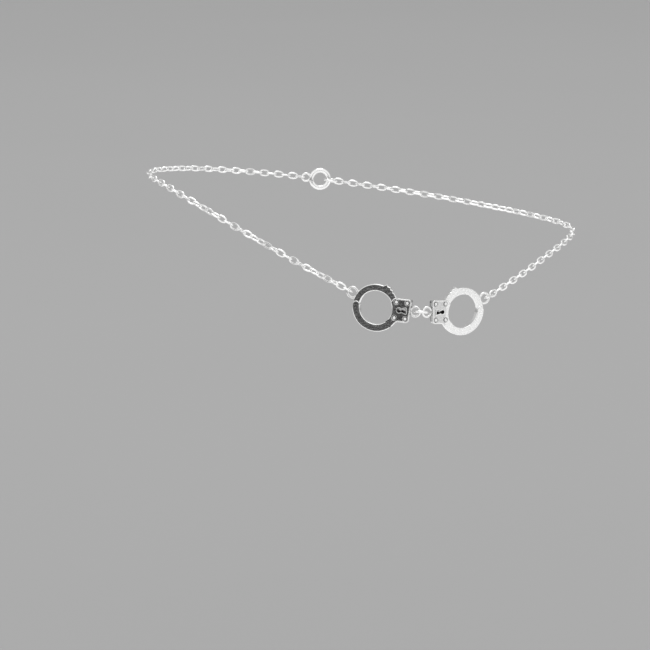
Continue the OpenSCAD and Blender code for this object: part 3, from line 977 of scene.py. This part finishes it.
class ANKLET_OT_chains(bpy.types.Operator):
    """Makes both chains of oval links, each quarter-turned from the last."""

    bl_idname = "anklet.chains"
    bl_label = "Chains"

    def execute(self, context):
        sizes = context.scene.anklet_chain
        route = chain_route(context.scene.anklet_cuff)
        length = route[1][-1]
        pitch = link_pitch(sizes, length)
        front = np.arange(1, sizes.front_links + 1)
        heel = np.arange(1, sizes.heel_links + 1)
        # Piece, node, length along the route where each link starts, the links' numbers, their rolls
        chains = (
            ("front_cable_chain", "front_chain", CHAIN_START + (front - 1) * pitch, front, FRONT_ROLLS),
            ("heel_cable_chain", "heel_chain", length - CHAIN_START - heel * pitch, heel, HEEL_ROLLS),
        )
        material = made_material("drawn_silver", drawn_silver)
        for piece, node, starts, numbers, table in chains:
            a, b = route_points(route, starts), route_points(route, starts + pitch)
            rolls = numbers * 90 + np.interp(numbers, *table.T)
            links = set_down(link(sizes, pitch), (a + b) / 2, chain_axes(b - a, rolls))
            add_piece(piece, links, node, material)
        return {"FINISHED"}


class ANKLET_OT_clasp(bpy.types.Operator):
    """Makes the plain ring clasp with its eye, and the end ring that it holds."""

    bl_idname = "anklet.clasp"
    bl_label = "Clasp"

    def execute(self, context):
        sizes = context.scene.anklet_chain
        route = chain_route(context.scene.anklet_cuff)
        eye, ring, end, total = clasp_layout(sizes)
        start = CHAIN_START + sizes.front_links * link_pitch(sizes, route[1][-1])
        at, far = route_points(route, start), route_points(route, start + total)
        flat, edgeways = chain_axes(np.array([far - at] * 2), np.array([0.0, 90.0]))
        clasp = joined(
            moved(wire_ring(sizes.eye_d, sizes.eye_wire), (eye, 0, 0)),
            moved(wire_ring(sizes.clasp_d, sizes.clasp_wire), (ring, 0, 0)),
        )
        end_ring = moved(wire_ring(sizes.end_ring_d, sizes.end_ring_wire), (end, 0, 0))
        material = made_material("drawn_silver", drawn_silver)
        add_piece("ring_clasp", in_frame(clasp, at, flat), "clasp", material)
        add_piece("clasp_end_ring", in_frame(end_ring, at, edgeways), "end_ring", material)
        return {"FINISHED"}


# Camera: it stands a little above the anklet and looks down by this angle
CAMERA_AT = (-0.00836, -0.66639, 0.12033)
CAMERA_DOWN = 12
CAMERA_LENS_MM = 156.5
FLOOR_SIZE = 9.0

# Soft light above: its place, what it points at, its width and height
TOP_LIGHT = ((0.05, 0.25, 1.9), (0.03, 0.25, 0.0), 1.5, 1.3)

# Where the sky fades: the y of a direction where it starts and where it ends
SKY_FADE_Y = (-0.1, 0.7)

# Cards that only reflections show, from their front: the place, what it faces, width and height, and grey
CARDS = {
    "left_card": ((-0.104, -0.193, -0.053), (0.0035, -0.027, -0.011), 0.095, 0.09, 0.06),
    "low_card": ((0.15, -0.1, -0.095), (0.15, -0.1, 0.0), 0.9, 0.7, 1.07),
}


def floor_material(look):
    """Pale matt floor with a faint cloud in its tone."""
    sheet = NodeSheet("pale_floor")
    shade = tuple(FLOOR_SHADE * c for c in look.floor_colour)
    cloud = sheet.mixed(sheet.noise(FLOOR_CLOUD), look.floor_colour, shade)
    sheet.join(cloud, sheet.shader.inputs["Base Color"])
    sheet.shader.inputs["Roughness"].default_value = FLOOR_ROUGHNESS
    sheet.shader.inputs["Specular IOR Level"].default_value = FLOOR_SPECULAR
    return sheet.material


def card_material(name, grey):
    """Even grey that needs no light, clear from behind."""
    sheet = NodeSheet(name)
    sheet.shader.inputs["Base Color"].default_value = (0, 0, 0, 1)
    sheet.shader.inputs["Specular IOR Level"].default_value = 0
    sheet.shader.inputs["Emission Color"].default_value = (grey, grey, grey, 1)
    sheet.shader.inputs["Emission Strength"].default_value = 1
    either = sheet.add("ShaderNodeMixShader")
    sheet.join(sheet.add("ShaderNodeNewGeometry").outputs["Backfacing"], either.inputs["Fac"])
    sheet.join(sheet.shader.outputs["BSDF"], either.inputs[1])
    sheet.join(sheet.add("ShaderNodeBsdfTransparent").outputs["BSDF"], either.inputs[2])
    sheet.join(either.outputs["Shader"], sheet.tree.nodes["Material Output"].inputs["Surface"])
    return sheet.material


def facing(at, target, axis):
    """The turn that points an object's axis from its place to the target."""
    return (Vector(target) - Vector(at)).to_track_quat(axis, "Y").to_euler()


def flat_card(name, width, height, place, turn, material):
    """A rectangle, its corners turned and moved into place: place + turn * corner."""
    corners = np.array([(-1, -1, 0), (1, -1, 0), (1, 1, 0), (-1, 1, 0)]) * (width / 2, height / 2, 0)
    mesh = bpy.data.meshes.new(name)
    mesh.from_pydata((corners @ np.array(turn.to_matrix()).T + np.array(place)).tolist(), [], [(0, 1, 2, 3)])
    mesh.materials.append(material)
    card = bpy.data.objects.new(name, mesh)
    bpy.context.scene.collection.objects.link(card)
    return card


def top_light(look):
    """Wide soft light above, as bright for each square metre as the look says."""
    at, target, width, height = TOP_LIGHT
    data = bpy.data.lights.new("top_light", "AREA")
    data.shape = "RECTANGLE"
    data.size, data.size_y = width, height
    data.energy = look.top_bright * np.pi * width * height
    lamp = bpy.data.objects.new("top_light", data)
    lamp.location = at
    lamp.rotation_euler = facing(at, target, "-Z")
    return lamp


def studio_sky(look):
    """White sky round the anklet: its strength fades along y, from the front to behind."""
    world = bpy.data.worlds.new("studio")
    world.use_nodes = True
    # Nothing samples the sky on its own, so the cards can hide it from reflections
    world.cycles.sampling_method = "NONE"
    nodes, links = world.node_tree.nodes, world.node_tree.links
    background = nodes["Background"]
    background.inputs["Color"].default_value = (1, 1, 1, 1)
    direction = nodes.new("ShaderNodeSeparateXYZ")
    fade = nodes.new("ShaderNodeMapRange")
    fade.inputs["From Min"].default_value, fade.inputs["From Max"].default_value = SKY_FADE_Y
    fade.inputs["To Min"].default_value = look.sky
    fade.inputs["To Max"].default_value = look.sky_behind
    links.new(nodes.new("ShaderNodeTexCoord").outputs["Generated"], direction.inputs["Vector"])
    links.new(direction.outputs["Y"], fade.inputs["Value"])
    links.new(fade.outputs["Result"], background.inputs["Strength"])
    return world


class ANKLET_OT_stage(bpy.types.Operator):
    """Makes the pale floor, the reflected cards, the soft light and sky, and the camera."""

    bl_idname = "anklet.stage"
    bl_label = "Stage"

    def execute(self, context):
        look = context.scene.anklet_stage
        scene = context.scene
        floor_at = (0, 0, look.floor_z)
        flat_card("floor", FLOOR_SIZE, FLOOR_SIZE, floor_at, Euler((0, 0, 0)), floor_material(look))

        for name, (at, target, width, height, grey) in CARDS.items():
            turn = facing(at, target, "Z")
            card = flat_card(name, width, height, at, turn, card_material(name, grey))
            card.visible_camera = False
            card.visible_diffuse = False
            card.visible_shadow = False

        scene.collection.objects.link(top_light(look))
        scene.world = studio_sky(look)

        camera_data = bpy.data.cameras.new("camera")
        camera_data.lens = CAMERA_LENS_MM
        camera = bpy.data.objects.new("camera", camera_data)
        camera.location = CAMERA_AT
        camera.rotation_euler = (np.radians(90 - CAMERA_DOWN), 0, 0)
        scene.collection.objects.link(camera)
        scene.camera = camera
        scene.view_settings.view_transform = "Standard"
        return {"FINISHED"}


class ANKLET_PT_sidebar(bpy.types.Panel):
    """Lists the anklet's pieces and their sizes."""

    bl_idname = "ANKLET_PT_sidebar"
    bl_label = "Anklet"
    bl_space_type = "VIEW_3D"
    bl_region_type = "UI"
    bl_category = "Anklet"

    def draw(self, context):
        layout = self.layout
        for operator in OPERATORS:
            layout.operator(operator.bl_idname)
        for name in GROUPS:
            group = getattr(context.scene, name)
            box = layout.box()
            for key in group.bl_rna.properties.keys():
                if key not in ("rna_type", "name"):
                    box.prop(group, key)


# Property groups by the name under which a scene holds them
GROUPS = {
    "anklet_cuff": CuffSizes,
    "anklet_chain": ChainSizes,
    "anklet_finish": SilverFinish,
    "anklet_stage": StageLook,
}
OPERATORS = (
    ANKLET_OT_stage,
    ANKLET_OT_cuffs,
    ANKLET_OT_centre_ring,
    ANKLET_OT_chains,
    ANKLET_OT_clasp,
)


def register():
    """Registers the classes and gives each scene its property groups."""
    for kind in (*GROUPS.values(), *OPERATORS, ANKLET_PT_sidebar):
        bpy.utils.register_class(kind)
    for name, kind in GROUPS.items():
        setattr(bpy.types.Scene, name, PointerProperty(type=kind))


def unregister():
    """Takes away what register made."""
    for name in GROUPS:
        delattr(bpy.types.Scene, name)
    for kind in (ANKLET_PT_sidebar, *reversed(OPERATORS), *reversed(tuple(GROUPS.values()))):
        bpy.utils.unregister_class(kind)


def main():
    register()
    bpy.ops.anklet.stage()
    bpy.ops.anklet.cuffs()
    bpy.ops.anklet.centre_ring()
    bpy.ops.anklet.chains()
    bpy.ops.anklet.clasp()


if __name__ == "__main__":
    main()
